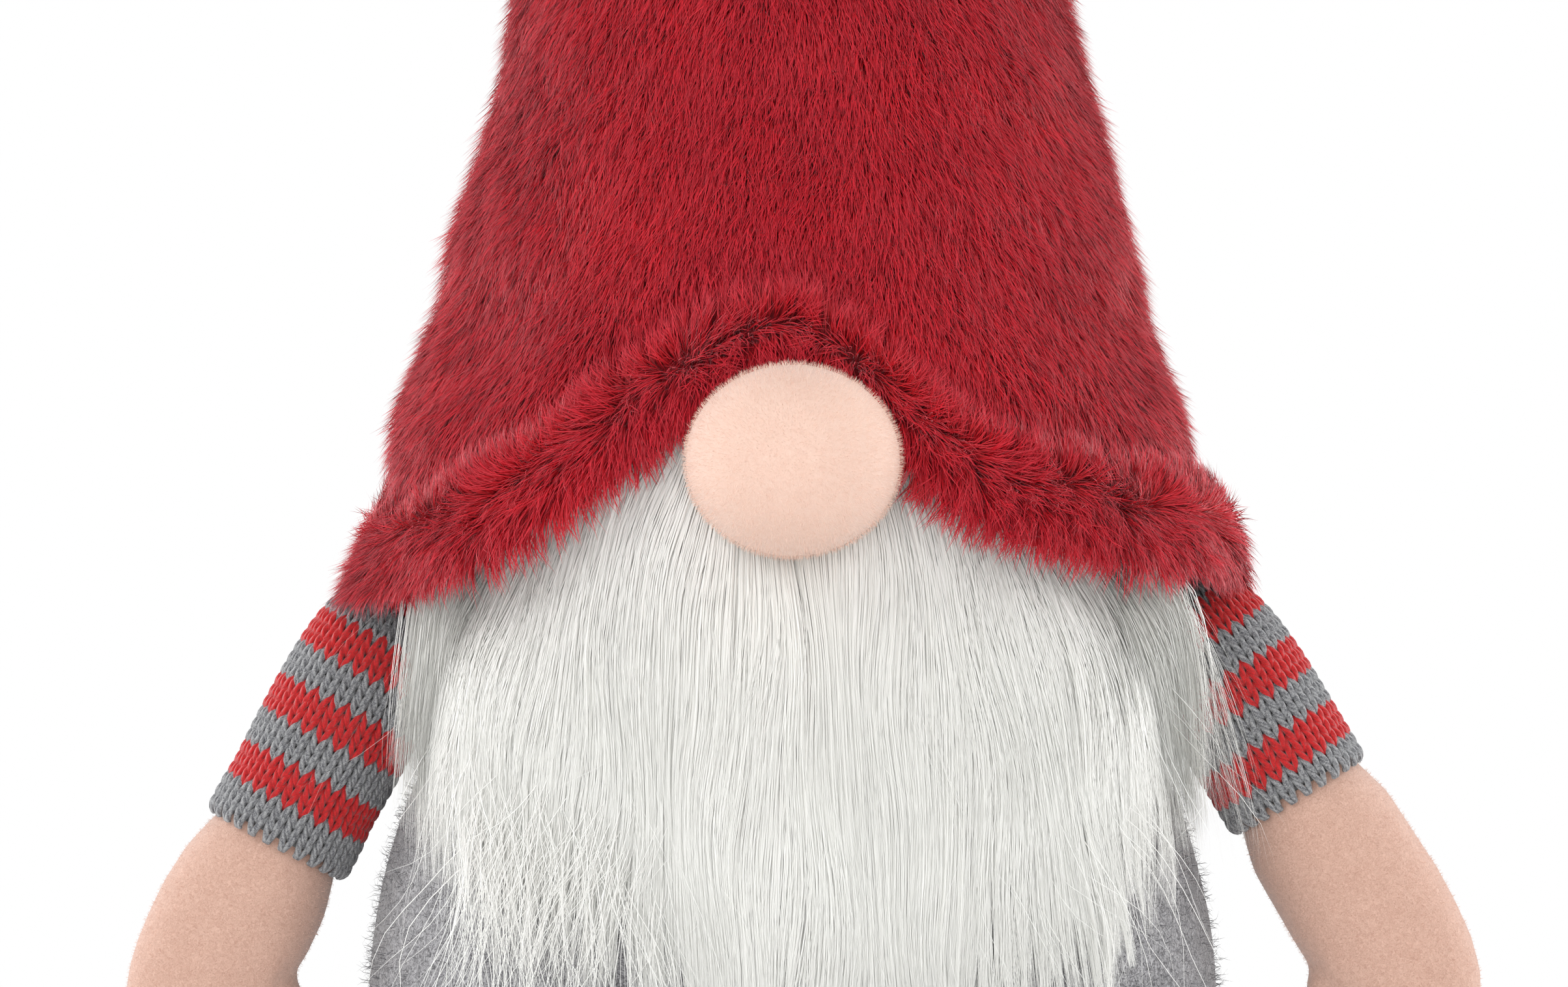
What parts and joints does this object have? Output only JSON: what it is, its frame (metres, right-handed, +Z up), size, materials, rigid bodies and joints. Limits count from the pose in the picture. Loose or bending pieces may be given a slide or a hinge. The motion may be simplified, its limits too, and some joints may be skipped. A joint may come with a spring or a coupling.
{
  "type": "tomte gnome figurine",
  "caption": "Stuffed cloth tomte gnome that stands on a flat weighted base, with a tall bendable fur hat, long white beard, round nose and loose arms in striped knitted sleeves.",
  "frame": {"origin": "centre of the flat base, on the surface that the gnome stands on", "axes": "+Z up along the hat, -Y the way the nose points, +X towards the gnome's own left arm"},
  "size_m": [0.3481, 0.221, 0.598],
  "materials": {
    "grey_felt": "matte",
    "board": "matte",
    "sand_bag": "matte",
    "filling": "matte",
    "beard_cloth": "matte",
    "beard_pile": "satin",
    "peach_jersey": "matte",
    "thread": "matte",
    "red_fur": "satin",
    "lining": "matte",
    "wire": "satin",
    "striped_knit": "matte"
  },
  "bodies": {
    "torso": {"base_panel": "grey_felt", "body_front_panel": "grey_felt", "body_back_panel": "grey_felt", "base_board": "board", "weight_bag": "sand_bag", "body_filling": "filling", "beard_backing": "beard_cloth", "beard_pile": "beard_pile", "nose_cover": "peach_jersey", "nose_filling": "filling", "nose_gather": "thread", "hat_front_panel": "red_fur", "hat_back_panel": "red_fur", "hat_brim_cuff": "red_fur", "hat_lining": "lining", "hat_filling": "filling", "hat_wire_lower": "wire"},
    "hat_middle": {"hat_middle_front_panel": "red_fur", "hat_middle_back_panel": "red_fur", "hat_middle_filling": "filling", "hat_wire_middle": "wire"},
    "hat_tip": {"hat_tip_front_panel": "red_fur", "hat_tip_back_panel": "red_fur", "hat_tip_filling": "filling", "hat_wire_tip": "wire"},
    "left_shoulder": {"left_shoulder_knot": "thread"},
    "right_shoulder": {"right_shoulder_knot": "thread"},
    "left_arm": {"left_sleeve": "striped_knit", "left_hand": "peach_jersey", "left_arm_filling": "filling"},
    "right_arm": {"right_sleeve": "striped_knit", "right_hand": "peach_jersey", "right_arm_filling": "filling"}
  },
  "joints": [
    {"name": "hat_lean", "type": "hinge", "parent": "torso", "child": "hat_middle", "pos_m": [0, 0, 0.345], "axis": [1, 0, 0], "range_deg": [-22, 22]},
    {"name": "hat_flop", "type": "hinge", "parent": "hat_middle", "child": "hat_tip", "pos_m": [0, 0, 0.455], "axis": [0, 1, 0], "range_deg": [-45, 45]},
    {"name": "left_arm_lift", "type": "hinge", "parent": "torso", "child": "left_shoulder", "pos_m": [0.0832, 0, 0.158], "axis": [0, -1, 0], "range_deg": [0, 15]},
    {"name": "left_arm_swing", "type": "hinge", "parent": "left_shoulder", "child": "left_arm", "pos_m": [0.0832, 0, 0.158], "axis": [-1, 0, 0], "range_deg": [-45, 60]},
    {"name": "right_arm_lift", "type": "hinge", "parent": "torso", "child": "right_shoulder", "pos_m": [-0.0832, 0, 0.158], "axis": [0, 1, 0], "range_deg": [0, 15]},
    {"name": "right_arm_swing", "type": "hinge", "parent": "right_shoulder", "child": "right_arm", "pos_m": [-0.0832, 0, 0.158], "axis": [-1, 0, 0], "range_deg": [-45, 60]}
  ]
}
